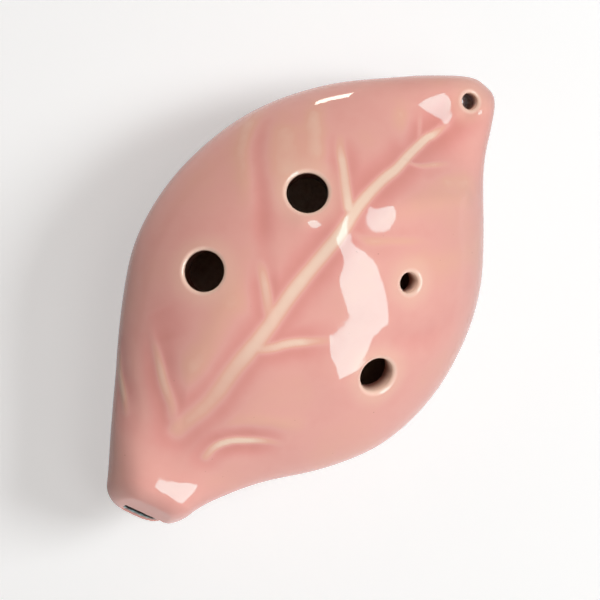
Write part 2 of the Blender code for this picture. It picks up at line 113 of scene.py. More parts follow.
def curve(table, size):
    """A size along the leaf at every place of FINE: a smooth curve through the table, then softened."""
    x, y = np.array(table).T * np.array([[LENGTH], [size]])
    slopes = np.array([
        (y[min(i + 1, len(x) - 1)] - y[max(i - 1, 0)]) / (x[min(i + 1, len(x) - 1)] - x[max(i - 1, 0)])
        for i in range(len(x))
    ])
    row = np.clip(np.searchsorted(x, FINE, side="right") - 1, 0, len(x) - 2)
    span = x[row + 1] - x[row]
    s = np.clip((FINE - x[row]) / span, 0, 1)
    made = (1 + 2 * s) * (1 - s) ** 2 * y[row] + s * (1 - s) ** 2 * span * slopes[row]
    made += s * s * (3 - 2 * s) * y[row + 1] + s * s * (s - 1) * span * slopes[row + 1]
    made += np.minimum(FINE, 0) * slopes[0] + np.maximum(FINE - LENGTH, 0) * slopes[-1]
    reach = np.arange(-SOFT_STEPS, SOFT_STEPS + 1) * FINE_STEP
    weights = np.exp(-((reach / SOFTNESS) ** 2) / 2)
    padded = np.pad(made, SOFT_STEPS, mode="reflect", reflect_type="odd")
    return np.convolve(padded, weights / weights.sum(), mode="valid")


HALF_WIDTH_CURVE = curve(HALF_WIDTHS, WIDTH / 2)
MIDDLE_CURVE = curve(MIDDLES, WIDTH)
DOME_CURVE = curve(DOMES, DOME)
BELLY_CURVE = curve(BELLIES, BELLY)


def at(values, along):
    """A curve's value at places along the leaf."""
    return np.interp(along, FINE, values)


def step(low, high, x):
    """0 below low and 1 above high, with a smooth rise between."""
    s = np.clip((x - low) / (high - low), 0, 1)
    return s * s * (3 - 2 * s)


def dome_fullness(along):
    """The power of the dome's cross-section: 2 is an ellipse, and more is flatter on top."""
    beak = (BEAK_FULLNESS - DOME_FULLNESS) * (1 - step(0, BEAK_FULLNESS_END, along))
    tip = (TIP_FULLNESS - DOME_FULLNESS) * step(TIP_FULLNESS_START, LENGTH - NOSE, along)
    return DOME_FULLNESS + beak + tip


def leaf_coordinates(p):
    """(along, across, height) of points in the row frame."""
    x, y, height = p[:, 0] + FOOT, p[:, 1] + at(MIDDLE_CURVE, FOOT), p[:, 2] - SEAM
    along, across = x.copy(), y - at(MIDDLE_CURVE, x)
    beak = np.nonzero(x < YAW_END + 8)[0]
    if len(beak):
        bx, by, bh = x[beak], y[beak], height[beak]
        a, c = along[beak], across[beak]
        for _ in range(14):
            yaw, rake = YAW * (1 - step(0, YAW_END, a)), RAKE * (1 - step(0, RAKE_END, a))
            c = (by - at(MIDDLE_CURVE, a)) / np.cos(yaw)
            lean = np.clip(bh, -20, 20) * np.tan(rake)
            swing = np.clip(c, -20, 20) * np.sin(yaw)
            a = 0.4 * a + 0.6 * (bx - lean + swing)
        along[beak], across[beak] = a, c
    return along, across, height


def placed(along, across, height):
    """The points in the row frame, the other way round from leaf_coordinates."""
    yaw, rake = YAW * (1 - step(0, YAW_END, along)), RAKE * (1 - step(0, RAKE_END, along))
    return np.stack([
        along + height * np.tan(rake) - across * np.sin(yaw) - FOOT,
        at(MIDDLE_CURVE, along) + across * np.cos(yaw) - at(MIDDLE_CURVE, FOOT),
        SEAM + height,
    ], -1)


def section(along, across, height, half_width, dome, belly):
    """Superellipse radius: 1 on the surface. The halves melt into each other across the seam."""
    w = step(-SEAM_BLEND, SEAM_BLEND, height)
    fullness = BELLY_FULLNESS + (dome_fullness(along) - BELLY_FULLNESS) * w
    e = TOP_ROUNDING
    c = ((across / half_width) ** 2 + e * e) ** (fullness / 2) - e ** fullness
    h = height ** 2 * (w / dome ** 2 + (1 - w) / belly ** 2)
    return c + h


def outer_radius(a, c, h):
    q = section(a, c, h, at(HALF_WIDTH_CURVE, a), at(DOME_CURVE, a), at(BELLY_CURVE, a))
    return np.sqrt(q + (np.maximum(a - (LENGTH - NOSE), 0) / NOSE) ** 2)


def chamber_radius(a, c, h):
    b = np.clip(a, *CHAMBER)
    walls = (HALF_WIDTH_CURVE, SIDE_WALL), (DOME_CURVE, DOME_WALL), (BELLY_CURVE, BELLY_WALL)
    sizes = (np.maximum(at(values, a) - wall, 1.5) for values, wall in walls)
    q = section(a, c, h, *sizes)
    cap = np.where(a < b, CHAMBER_CAPS[0], CHAMBER_CAPS[1])
    return np.sqrt(q + ((a - b) / cap) ** 2)


def distance(radius, a, c, h):
    """About the distance to where radius is 1."""
    d = 0.05
    value = radius(a, c, h)
    ga = (radius(a + d, c, h) - radius(a - d, c, h)) / (2 * d)
    gc = (radius(a, c + d, h) - radius(a, c - d, h)) / (2 * d)
    gh = (radius(a, c, h + d) - radius(a, c, h - d)) / (2 * d)
    return (value - 1) / np.maximum(np.sqrt(ga ** 2 + gc ** 2 + gh ** 2), 1e-4)


def both(a, b, r):
    """Inside both solids, with the edge between them rounded by r."""
    return np.minimum(-r, np.maximum(a, b)) + np.hypot(np.maximum(r + a, 0), np.maximum(r + b, 0))


# --- Places on the leaf -----------------------------------------------------------------------------
def on_leaf(along, share, side=1):
    """The point of the outer surface at this place along, and share of the half width across."""
    along, share = np.broadcast_arrays(np.asarray(along, float), np.asarray(share, float))
    c = at(HALF_WIDTH_CURVE, along) * share
    low, high = np.zeros(along.shape), np.full(along.shape, 30.0)
    for _ in range(40):
        middle = (low + high) / 2
        out = outer_radius(along, c, side * middle) > 1
        low, high = np.where(out, low, middle), np.where(out, middle, high)
    return placed(along, c, side * (low + high) / 2)


def leaf_normal(along, share, side=1):
    """The outward normal of the surface there."""
    d = 0.5
    run = on_leaf(along + d, share, side) - on_leaf(along - d, share, side)
    rise = on_leaf(along, share + d / 30, side) - on_leaf(along, share - d / 30, side)
    n = np.cross(run, rise) * side
    return n / np.linalg.norm(n)


BORES = []
for place, share, bore, rim, side in HOLES.values():
    spot = place * LENGTH, share, side
    BORES.append((on_leaf(*spot), leaf_normal(*spot), bore / 2, rim))
STRAP_TOP = on_leaf(STRAP_HOLE[0], STRAP_HOLE[1])

# The windway runs straight from the mouth to the sound window.
start = np.array([0.0, at(MIDDLE_CURVE, 0.0) - WINDWAY_OFFSET])
aim = np.array([WINDOW_START, at(MIDDLE_CURVE, WINDOW_START)]) - start
AIM = aim / np.linalg.norm(aim)
MOUTH = np.array([start[0] - FOOT, start[1] - at(MIDDLE_CURVE, FOOT)])


def windway_coordinates(p):
    """(down the windway from the mouth, across it, height over the seam)."""
    d = p[:, :2] - MOUTH
    return d @ AIM, d[:, 1] * AIM[0] - d[:, 0] * AIM[1], p[:, 2] - SEAM


def between(pair, x, low=0.0, high=WINDOW_START):
    """From the first of the pair at low to the second at high, evenly."""
    return pair[0] + (pair[1] - pair[0]) * (x - low) / (high - low)


WINDWAY_FLOORS = (LIPS[0] - at(BELLY_CURVE, 0.0), LIPS[1] - at(BELLY_CURVE, WINDOW_START))
WINDWAY_ROOFS = (WINDWAY_FLOORS[0] + WINDWAY_HEIGHTS[0], WINDWAY_FLOORS[1] + WINDWAY_HEIGHTS[1])


def slab(x, low, high):
    """Negative between low and high."""
    return np.maximum(low - x, x - high)


def windway_field(p):
    x, y, z = windway_coordinates(p)
    sides = np.abs(y) - between(WINDWAY_WIDTHS, np.clip(x, -5, 30)) / 2
    flare = MOUTH_FLARE * (1 - step(-0.5, FLARE_END, x))
    heights = slab(z, between(WINDWAY_FLOORS, x), between(WINDWAY_ROOFS, x) + flare)
    return both(both(sides, heights, 0.5), slab(x, -10, WINDOW_START + 0.3), 0.1)


def block_field(p, clearance=0.0, run_on=0.0):
    x, y, z = windway_coordinates(p)
    side = between(WINDWAY_WIDTHS, x) / 2 + between(BLOCK_SIDES, x, END_WALL)
    tops = at(DOME_CURVE, END_WALL) - BLOCK_ROOFS[0], at(DOME_CURVE, WINDOW_START) - BLOCK_ROOFS[1]
    heights = slab(z, between(WINDWAY_ROOFS, x) - clearance, between(tops, x, END_WALL) + clearance)
    sides = np.abs(y) - side - clearance
    return both(both(sides, heights, 0.4), slab(x, END_WALL - clearance, WINDOW_START + run_on), 0.4)


def window_field(p):
    x, y, z = windway_coordinates(p)
    sides = np.abs(y) - WINDWAY_WIDTHS[1] / 2 - 0.2
    end = WINDOW_START + WINDOW_LENGTH + LABIUM_SEAT
    return both(both(sides, slab(x, WINDOW_START, end), 0.4), z - WINDWAY_ROOFS[1] - 2.4, 0.3)


def labium_field(p):
    x, y, z = windway_coordinates(p)
    edge = WINDOW_START + WINDOW_LENGTH
    end = edge + LABIUM_SEAT + 0.1
    jet = (WINDWAY_FLOORS[1] + WINDWAY_ROOFS[1]) / 2
    ramp = (jet - LABIUM_EDGE / 2 - (x - edge) * math.tan(LABIUM_RAMP) - z) * math.cos(LABIUM_RAMP)
    top = between((jet + LABIUM_EDGE / 2, BELLY_WALL - at(BELLY_CURVE, end)), x, edge, end)
    sides = np.abs(y) - WINDWAY_WIDTHS[1] / 2 - 0.25
    wedge = both(both(ramp, z - top, 0.12), slab(x, edge, end), 0.1)
    return both(both(wedge, sides, 0.1), distance(outer_radius, *leaf_coordinates(p)), 0.2)


def body_field(p):
    """The whole leaf: its skin, less the bores, the windway, the window, the pocket and the chamber."""
    a, c, h = leaf_coordinates(p)
    field = both(distance(outer_radius, a, c, h), -a, BEAK_ROUNDING)
    field = both(field, -p[:, 2], 1.0)
    for point, normal, radius, rim in BORES:
        d = p - point
        axial = d @ normal
        radial = np.sqrt(np.maximum((d * d).sum(1) - axial ** 2, 0))
        near = np.nonzero((radial < radius + 4) & (axial > -9))[0]
        field[near] = both(field[near], radius - radial[near], rim)
    strap = STRAP_HOLE[2] / 2 - np.hypot(p[:, 0] - STRAP_TOP[0], p[:, 1] - STRAP_TOP[1])
    near = np.nonzero(strap > -4)[0]
    field[near] = both(field[near], strap[near], STRAP_HOLE[3])
    near = np.nonzero(p[:, 0] < -15)[0]
    q, f = p[near], field[near]
    f = both(f, -windway_field(q), 0.45)
    f = both(f, -window_field(q), 0.5)
    f = np.maximum(f, -block_field(q, 0.1, POCKET_OPENING))
    field[near] = f
    return both(field, -distance(chamber_radius, a, c, h), 0.4)


# --- The veins --------------------------------------------------------------------------------------
# A place on the dome is (millimetres along, degrees over it): 0 is the player's left margin, 180 the right.
# Each stroke: points, strength at its start, middle and end, crest height, crest half width at its start
# and end, groove depth, groove half width, and how cream its crest is at its start, middle and end. First
# comes the midrib, then the side veins on the player's left, and then those on the right. Five groove
# depths, three crest heights, and the midrib's groove width and last strength come from a fit to the
# photographed reflections.
STROKES = (
    (((17.5, 83), (23, 83.5), (33.5, 81), (42, 81), (52.5, 79.5), (62.5, 79.5), (68, 79.5),
      (74, 78.5), (82, 80), (87.5, 84), (93.5, 89), (98.5, 90.5), (105.5, 91)),
     (1.0, 1.0, 1.2), 0.05, (2.4, 0.8), 0.32, 4.5, (0.6, 0.98, 0.0)),
    (((18, 80), (20.5, 70.5), (23, 58), (27, 45), (30, 37)),
     (0.9, 1.0, 0.0), 0.20, (1.6, 0.9), 0.34, 3.8, (0.45, 0.65, 0.4)),
    (((14.5, 37.5), (16.5, 28), (19, 15), (22.5, 8)),
     (0.4, 1.0, 0.6), 0.25, (1.1, 1.1), 0.20, 3.4, (0.5, 0.7, 0.5)),
    (((45, 81), (47.5, 76), (50.5, 70), (54, 63)),
     (0.9, 1.0, 0.0), 0.14, (1.5, 0.9), 0.32, 3.2, (0.6, 0.7, 0.5)),
    (((72.5, 76), (75, 71), (78, 65), (81, 58), (84, 52)),
     (1.0, 1.0, 0.0), 0.05, (1.2, 1.0), 0.22, 3.6, (1.0, 0.9, 0.6)),
    (((94, 88), (96, 86), (99, 81)),
     (0.6, 0.8, 0.0), 0.15, (0.6, 0.5), 0.12, 2.2, (0.5, 0.5, 0.3)),
    (((17, 102), (19.5, 103), (22.5, 108), (25, 115), (27.5, 122), (29, 128)),
     (0.5, 1.0, 0.0), 0.25, (1.0, 0.8), 0.36, 2.8, (0.9, 1.0, 0.8)),
    (((40, 84), (42, 88), (44.5, 92.5), (47, 97.5), (50, 103)),
     (0.9, 1.0, 0.3), 0.05, (1.2, 0.9), 0.27, 3.2, (0.8, 0.9, 0.8)),
    (((69, 83), (70, 90.5), (73, 98.5), (79, 114)),
     (0.5, 0.8, 0.0), 0.07, (0.9, 0.7), 0.10, 3.2, (0.5, 0.4, 0.3)),
    (((88, 84.5), (89, 91), (92, 98), (95, 105)),
     (0.8, 0.9, 0.0), 0.15, (0.6, 0.5), 0.16, 2.6, (0.6, 0.6, 0.4)),
)
# Broad swellings and hollows between the veins, some of their heights from that fit: points, height, half
# width, tone. Their tone lightens or darkens a band along each, partly glaze and partly painted light
# and shade.
SWELLINGS = (
    (((25.0, 65.0), (31.0, 68.0), (41.0, 65.0), (48.5, 65.0)), 0.2, 3.6, 0.35),
    (((30.0, 51.0), (34.0, 38.0)), -0.18, 3.6, -0.4),
    (((62.0, 47.0), (70.0, 28.5), (77.0, 11.5)), 0.16, 2.6, 0.45),
    (((55.0, 64.0), (63.0, 51.0), (70.0, 35.0), (76.0, 24.0)), -0.16, 2.0, -0.6),
    (((76.0, 58.0), (81.0, 44.0), (85.5, 31.0)), 0.1, 2.2, 0.55),
    (((69.0, 54.0), (74.5, 42.0), (79.0, 30.0)), 0.0, 4.2, 0.45),
    (((90.0, 104.0), (95.0, 124.0)), 0.05, 1.8, 0.3),
    (((89.5, 82.0), (93.0, 79.0), (97.0, 69.0)), 0.05, 2.0, 0.4),
    (((23.0, 100.0), (26.0, 102.5), (29.5, 109.5), (33.5, 121.0)), 0.16, 1.6, 0.25),
    (((57.5, 119.5), (67.0, 140.0)), -0.58, 3.0, -0.25),
    (((72.0, 108.0), (77.0, 122.0), (81.5, 135.5), (84.5, 144.5)), 0.1, 2.6, 0.25),
    (((79.5, 94.5), (87.5, 113.0), (93.5, 131.0)), 0.5, 2.6, 0.25),
)
# Shallow round unevenness of the dome, which bends what its gloss mirrors. All but the last come from that
# fit, and none can be seen as a mark in the photograph: along, over, height, half width.
ROUND_SWELLINGS = (
    (47.0, 92.0, -0.85, 6.7), (46.0, 116.0, 0.80, 6.0), (54.0, 101.0, -0.65, 6.1), (59.0, 95.0, 0.40, 3.9),
    (65.5, 83.0, 0.65, 4.1), (70.0, 76.0, 0.60, 4.9), (68.0, 96.0, 0.50, 4.6), (71.0, 90.0, -0.30, 4.9),
    (80.0, 91.0, 0.45, 4.4), (106.5, 96.0, -0.75, 3.9), (65.0, 67.0, 0.42, 2.5),
)
# Where a groove pools the glaze: its distance from the crest in mm, its width as a share of the groove's,
# the depth at which it is full, how far it pulls the tone down, and the tone of the plain dome.
POOL_GAP, POOL_WIDTH, FULL_DEPTH, POOL_TONE, PLAIN_TONE = 1.7, 0.62, 0.42, 0.78, 0.05
# The map of the dome: its steps in mm along and in degrees over, and how far it runs past the edges.
STEP_ALONG, STEP_OVER, MAP_MARGIN = 0.2, 0.25, 3.0
MAP_ALONG = np.arange(-MAP_MARGIN, LENGTH + MAP_MARGIN, STEP_ALONG)
MAP_OVER = np.radians(np.arange(-MAP_MARGIN, 180.0 + MAP_MARGIN, STEP_OVER))


def on_dome(along, over):
    """Points of the smooth dome, without its relief."""
    cosine = np.cos(over)
    across = at(HALF_WIDTH_CURVE, along) * np.sign(cosine) * np.abs(cosine) ** (2 / dome_fullness(along))
    nose = np.sqrt(np.clip(1 - (np.maximum(along - (LENGTH - NOSE), 0) / NOSE) ** 2, 0.01, 1))
    return placed(along, across * nose, at(DOME_CURVE, along) * np.sin(over) * nose)


MAP_POINTS = on_dome(*np.meshgrid(MAP_ALONG, MAP_OVER, indexing="ij"))


def near_stroke(points, reach):
    """(rows of the map within reach, distance to the stroke, share of the way along it)."""
    knots = np.array(points)
    knots = np.stack([knots[:, 0], np.radians(knots[:, 1])], 1)
    run = np.concatenate([[0], np.cumsum(np.linalg.norm(np.diff(on_dome(*knots.T), axis=0), axis=1))])
    s = np.linspace(0, run[-1], max(8, int(run[-1])))
    line = on_dome(*(smooth_through(run, knots[:, i], s) for i in (0, 1)))
    flat = MAP_POINTS.reshape(-1, 3)
    rows = np.nonzero(((flat > line.min(0) - reach) & (flat < line.max(0) + reach)).all(1))[0]
    p = flat[rows]
    best, share = np.full(len(p), 1e9), np.zeros(len(p))
    for i in range(len(line) - 1):
        stretch = line[i + 1] - line[i]
        t = np.clip((p - line[i]) @ stretch / (stretch @ stretch), 0, 1)
        gap = np.linalg.norm(p - line[i] - t[:, None] * stretch, axis=1)
        closer = gap < best
        best = np.where(closer, gap, best)
        share = np.where(closer, (i + t) / (len(line) - 1), share)
    return rows, best, share


def smooth_through(x, y, s):
    """A smooth curve through (x, y), read at s."""
    slopes = np.gradient(y, x)
    row = np.clip(np.searchsorted(x, s, side="right") - 1, 0, len(x) - 2)
    span = x[row + 1] - x[row]
    t = (s - x[row]) / span
    made = (1 + 2 * t) * (1 - t) ** 2 * y[row] + t * (1 - t) ** 2 * span * slopes[row]
    return made + t * t * (3 - 2 * t) * y[row + 1] + t * t * (t - 1) * span * slopes[row + 1]


def along_stroke(share, places, values):
    """A stroke's start value, then its middle one held between the inner two places, then its end value."""
    return np.interp(share, places, (values[0], values[1], values[1], values[2]))


def vein_maps():
    """(height in mm, tone) over the map. Tone is 1 where glaze is thin and cream, -1 where it pools.

    Crests and grooves that cross are joined by the sixth root of their summed sixth powers, a soft maximum.
    The swellings' tone bands are partly glaze and partly painted light and shade.
    """
    size = MAP_POINTS.shape[0] * MAP_POINTS.shape[1]
    crest, groove, cream, pool, broad, band_tone_and_shade = (np.zeros(size) for _ in range(6))
    for points, strengths, height, widths, depth, reach, paleness in STROKES:
        rows, gap, share = near_stroke(points, 3 * reach)
        strength = along_stroke(share, (0, 0.25, 0.6, 1), strengths)
        width = widths[0] + (widths[1] - widths[0]) * share
        crest[rows] += (height * strength * np.exp(-((gap / width) ** 2))) ** 6
        pale = along_stroke(share, (0, 0.4, 0.9, 0.97), paleness)
        cream[rows] += (pale * strength * np.exp(-((gap / width) ** 3))) ** 6
        groove[rows] += (depth * strength * np.exp(-((gap / reach) ** 2))) ** 6
        aside = (gap - POOL_GAP) / (reach * POOL_WIDTH)
        pool[rows] += (strength * depth / FULL_DEPTH * np.exp(-(aside ** 2))) ** 6
    for points, height, width, tone in SWELLINGS:
        rows, gap, share = near_stroke(points, 3 * width)
        ends = step(0, 0.2, share) * (1 - step(0.8, 1, share)) * 0.5 + 0.5
        broad[rows] += height * ends * np.exp(-((gap / width) ** 2))
        # Partly painted light and shade: the swelling's tone lightens or darkens a band along it.
        band_tone_and_shade[rows] += tone * ends * np.exp(-((gap / width) ** 2))
    for along, over, height, width in ROUND_SWELLINGS:
        middle = on_dome(np.array([along]), np.radians(np.array([over])))
        broad += height * np.exp(-((MAP_POINTS.reshape(-1, 3) - middle) ** 2).sum(1) / width ** 2)
    sixth = 1 / 6
    height = crest ** sixth - groove ** sixth + broad
    cream, pool = cream ** sixth, pool ** sixth
    tone = np.clip(PLAIN_TONE + band_tone_and_shade - POOL_TONE * pool, -1, 1) * (1 - cream) + cream
    return height.reshape(MAP_POINTS.shape[:2]), tone.reshape(MAP_POINTS.shape[:2])


def read_map(values, along, over):
    """The map's value at places on the dome."""
    x = np.clip((along - MAP_ALONG[0]) / STEP_ALONG, 0, len(MAP_ALONG) - 1.001)
    y = np.clip((np.degrees(over) + MAP_MARGIN) / STEP_OVER, 0, len(MAP_OVER) - 1.001)
    i, j = x.astype(int), y.astype(int)
    u, v = x - i, y - j
    low = values[i, j] * (1 - u) + values[i + 1, j] * u
    return low * (1 - v) + (values[i, j + 1] * (1 - u) + values[i + 1, j + 1] * u) * v


def over_dome(a, c, h):
    """The angle over the dome, in radians."""
    share = np.clip(c / at(HALF_WIDTH_CURVE, a), -1.2, 1.2)
    rise = np.maximum(h, 0) / at(DOME_CURVE, a)
    return np.arctan2(rise, np.sign(share) * np.abs(share) ** (dome_fullness(a) / 2))


HEIGHT_MAP, TONE_MAP = vein_maps()


def relief(p):
    """The relief's height in mm, which fades out at the seam, the mouth and the tip."""
    a, c, h = leaf_coordinates(p)
    fade = step(0.5, 4.5, h) * step(3.0, 8.0, a) * (1 - step(LENGTH - 7, LENGTH - 3, a))
    return read_map(HEIGHT_MAP, a, over_dome(a, c, h)) * fade


def raised(points, normals, mask):
    """The points moved out by the veins' relief, and their normals turned to fit."""
    rows = np.nonzero(mask > 0)[0]
    p, n, share = points[rows], normals[rows], mask[rows]
    one = np.cross(n, [0.0, 1.0, 0.0])
    one /= np.linalg.norm(one, axis=1, keepdims=True)
    two = np.cross(n, one)
    d = 0.3
    slope = sum(
        t * ((relief(p + d * t) - relief(p - d * t)) * share / (2 * d))[:, None] for t in (one, two)
    )
    points[rows] = p + n * (relief(p) * share)[:, None]
    n = n - slope
    normals[rows] = n / np.linalg.norm(n, axis=1, keepdims=True)


# --- From a field to a mesh -------------------------------------------------------------------------
BODY_CELL, BLOCK_CELL, LABIUM_CELL = 0.45, 0.5, 0.2  # of the pieces' grids, in mm
BAND = 10 / 1.8  # how many cells on each side of the rough surface are walked finely
# Holes wider than WIDE_RADIUS get painted dark shade on their walls.
WIDE_RADIUS = 3.8  # holes with a larger radius than this show dark walls, in mm


def gradient(field, p, d=0.05):
    made = np.empty_like(p)
    for axis in range(3):
        shift = np.zeros(3)
        shift[axis] = d
        made[:, axis] = (field(p + shift) - field(p - shift)) / (2 * d)
    return made


def spread(values, shape):
    """Values on a coarse grid, drawn out evenly to a finer one."""
    for axis, count in enumerate(shape):
        place = np.linspace(0, values.shape[axis] - 1, count)
        low = np.minimum(place.astype(int), values.shape[axis] - 2)
        part = (place - low).reshape([-1 if i == axis else 1 for i in range(3)])
        values = np.take(values, low, axis) * (1 - part) + np.take(values, low + 1, axis) * part
    return values


def grid_points(low, high, counts):
    axes = [np.linspace(low[i], high[i], counts[i]) for i in range(3)]
    return np.stack(np.meshgrid(*axes, indexing="ij"), -1).reshape(-1, 3)


def surface(field, low, high, cell):
    """(points, quads, normals) of the field's zero level between two corners."""
    low, high = np.array(low, float), np.array(high, float)
    coarse = np.maximum(np.ceil((high - low) / (4 * cell)).astype(int) + 1, 2)
    counts = (coarse - 1) * 4 + 1
    high = low + (counts - 1) * cell
    rough = field(grid_points(low, high, coarse)).reshape(coarse)
    values = spread(rough, counts).astype(np.float32)
    near = np.argwhere(np.abs(values) < BAND * cell)
    for part in np.array_split(near, max(1, len(near) // 400000)):
        values[tuple(part.T)] = field(low + part * cell)
    inside = values < 0
    corners = [(i, j, k) for i in (0, 1) for j in (0, 1) for k in (0, 1)]
    n = np.array(counts) - 1
    filled = sum(
        inside[i:i + n[0], j:j + n[1], k:k + n[2]].astype(np.int8) for i, j, k in corners
    )
    cells = np.argwhere((filled > 0) & (filled < 8))
    number = np.full(n, -1, np.int64)
    number[tuple(cells.T)] = np.arange(len(cells))
    total, count = np.zeros((len(cells), 3)), np.zeros(len(cells))
    at_corner = {
        c: values[cells[:, 0] + c[0], cells[:, 1] + c[1], cells[:, 2] + c[2]].astype(float) for c in corners
    }
    for a in corners:
        for axis in range(3):
            if a[axis]:
                continue
            b = tuple(v + (i == axis) for i, v in enumerate(a))
            va, vb = at_corner[a], at_corner[b]
            crossed = (va < 0) != (vb < 0)
            t = np.where(crossed, va / np.where(crossed, va - vb, 1), 0)
            point = np.array(a, float) + t[:, None] * (np.array(b) - np.array(a))
            total += point * crossed[:, None]
            count += crossed
    points = low + (cells + total / count[:, None]) * cell
    quads = []
    for axis in range(3):
        u, v = [i for i in range(3) if i != axis]
        end = [slice(None)] * 3
        end[axis] = slice(0, -1)
        begin = [slice(None)] * 3
        begin[axis] = slice(1, None)
        crossed = np.argwhere(inside[tuple(end)] != inside[tuple(begin)])
        crossed = crossed[(crossed[:, u] > 0) & (crossed[:, v] > 0)]
        crossed = crossed[(crossed[:, u] < n[u]) & (crossed[:, v] < n[v])]
        ring = []
        for du, dv in ((0, 0), (1, 0), (1, 1), (0, 1)):
            where = crossed.copy()
            where[:, u] -= du
            where[:, v] -= dv
            ring.append(number[tuple(where.T)])
        ring = np.stack(ring, -1)
        flip = inside[tuple(crossed.T)] != (axis == 1)
        quads.append(np.where(flip[:, None], ring, ring[:, ::-1]))
    quads = np.concatenate(quads)
    quads = quads[(quads >= 0).all(1)]
    for _ in range(4):
        slope = gradient(field, points)
        move = field(points)[:, None] * slope / np.maximum((slope ** 2).sum(1, keepdims=True), 0.2)
        points = points - np.clip(move, -cell / 2, cell / 2)
    normals = gradient(field, points, 0.08)
    normals /= np.maximum(np.linalg.norm(normals, axis=1, keepdims=True), 1e-9)
    return points, quads, normals


def inside_rims(p):
    """(millimetres outside the nearest hole's edge, 1 where that hole is a wide one)."""
    gap, wide = np.full(len(p), 99.0), np.zeros(len(p))
    upright = np.array([0.0, 0.0, 1.0])
    for point, normal, radius, _ in BORES + [(STRAP_TOP, upright, STRAP_HOLE[2] / 2, STRAP_HOLE[3])]:
        d = p - point
        axial = d @ normal
        radial = np.sqrt(np.maximum((d * d).sum(1) - axial ** 2, 0))
        near = (np.abs(axial) < 8) & (radial - radius < gap)
        gap[near] = radial[near] - radius
        wide[near] = radius > WIDE_RADIUS
    return gap, wide


def body_surface():
    """(points, quads, normals, attributes) of the whole leaf, veins and all."""
    points, quads, normals = surface(body_field, (-66, -38, -2), (57, 38, 38), BODY_CELL)
    a, c, h = leaf_coordinates(points)
    depth = np.maximum(-both(distance(outer_radius, a, c, h), -a, BEAK_ROUNDING), 0)
    gap, wide = inside_rims(points)
    # The mouth slot's walls get the same painted dark shade as a wide hole's walls.
    wide[(np.abs(windway_field(points)) < 0.5) & (a < 20)] = 1
    tone = np.where(h > 0, read_map(TONE_MAP, a, over_dome(a, c, h)) * step(0.0, 3.0, h), 0)
    raised(points, normals, (depth < 0.35) * (h > 0.2) * step(0.2, 1.8, gap))
    foot = 1 - step(0.02, 0.3, points[:, 2])
    return points, quads, normals, {"tone": tone, "rim": gap, "wide": wide, "depth": depth, "foot": foot}


PIECES = bpy.data.collections.new("pieces")


def add_object(name, mesh, normals, material, nodes):
    """A finished piece: its smooth normals set, in the scene, and riding on the one body."""
    mesh.shade_smooth()
    mesh.normals_split_custom_set_from_vertices(normals)
    mesh.materials.append(material)
    piece = bpy.data.objects.new(name, mesh)
    bpy.context.scene.collection.objects.link(piece)
    PIECES.objects.link(piece)
    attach(piece, "root")
    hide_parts(*nodes)
    return piece


def new_mesh(name, points, faces, normals, attributes):
    mesh = bpy.data.meshes.new(name)
    mesh.from_pydata((points * MM).tolist(), [], faces.tolist())
    kept = mesh.attributes.new("kept_normal", "FLOAT_VECTOR", "POINT")
    kept.data.foreach_set("vector", normals.astype(np.float32).ravel())
    for key, values in attributes.items():
        made = mesh.attributes.new(key, "FLOAT", "POINT")
        made.data.foreach_set("value", values.astype(np.float32))
    return mesh


def take_normals(mesh):
    """The normals kept with the mesh's points, which a cut has blended like everything else."""
    values = np.empty(len(mesh.vertices) * 3, np.float32)
    mesh.attributes["kept_normal"].data.foreach_get("vector", values)
    mesh.attributes.remove(mesh.attributes["kept_normal"])
    values = values.reshape(-1, 3)
    return values / np.maximum(np.linalg.norm(values, axis=1, keepdims=True), 1e-6)


def shell(name, side, whole, material, node):
    """One half of the leaf: the whole surface cut flat at the seam, and closed there."""
    mesh = new_mesh(name, *whole)
    bm = bmesh.new()
    bm.from_mesh(mesh)
    geometry = bm.verts[:] + bm.edges[:] + bm.faces[:]
    bmesh.ops.bisect_plane(
        bm, geom=geometry, dist=1e-7, plane_co=(0, 0, SEAM * MM), plane_no=(0, 0, side), clear_inner=True
    )
    rim = [edge for edge in bm.edges if edge.is_boundary]
    bmesh.ops.triangle_fill(bm, edges=rim, use_beauty=True, normal=(0, 0, -side))
    bm.to_mesh(mesh)
    bm.free()
    return add_object(name, mesh, take_normals(mesh).tolist(), material, [node])


# --- Materials --------------------------------------------------------------------------------------
GLAZE_IOR = 1.5


def nodes_of(name):
    """A new material, and short ways to add a node and to link one to its shader."""
    made = bpy.data.materials.new(name)
    made.use_nodes = True
    tree = made.node_tree
    shader = tree.nodes["Principled BSDF"]

    def add(kind, inputs=(), **settings):
        node = tree.nodes.new("ShaderNode" + kind)
        for key, value in settings.items():
            setattr(node, key, value)
        for key, value in dict(inputs).items():
            if isinstance(value, bpy.types.NodeSocket):
                tree.links.new(value, node.inputs[key])
            else:
                node.inputs[key].default_value = value
        return node

    def link(source, target):
        tree.links.new(source, shader.inputs[target])

    return made, shader, add, link


def maths(add, operation, *values):
    return add("Math", dict(enumerate(values)), operation=operation).outputs[0]


def eased(add, value, low, high, start, end):
    """From start to end, smoothly, as the value goes from low to high."""
    limits = {"Value": value, "From Min": low, "From Max": high, "To Min": start, "To Max": end}
    return add("MapRange", limits, interpolation_type="SMOOTHSTEP").outputs[0]


def mixed(add, share, colour, other):
    """The first colour at a share of 0 and the other at 1."""
    inputs = {0: share, 6: colour, 7: other if isinstance(other, bpy.types.NodeSocket) else (*other, 1)}
    return add("Mix", inputs, data_type="RGBA").outputs[2]


def ramp(add, value, stops):
    node = add("ValToRGB", {"Fac": value})
    elements = node.color_ramp.elements
    while len(elements) < len(stops):
        elements.new(0.5)
    for element, (position, colour) in zip(elements, stops):
        element.position = position
        element.color = (*colour, 1)
    return node.outputs["Color"]


def noise(add, place, scale, detail=2.0, roughness=0.5):
    inputs = {"Vector": place, "Scale": scale, "Detail": detail, "Roughness": roughness}
    return add("TexNoise", inputs).outputs["Fac"]


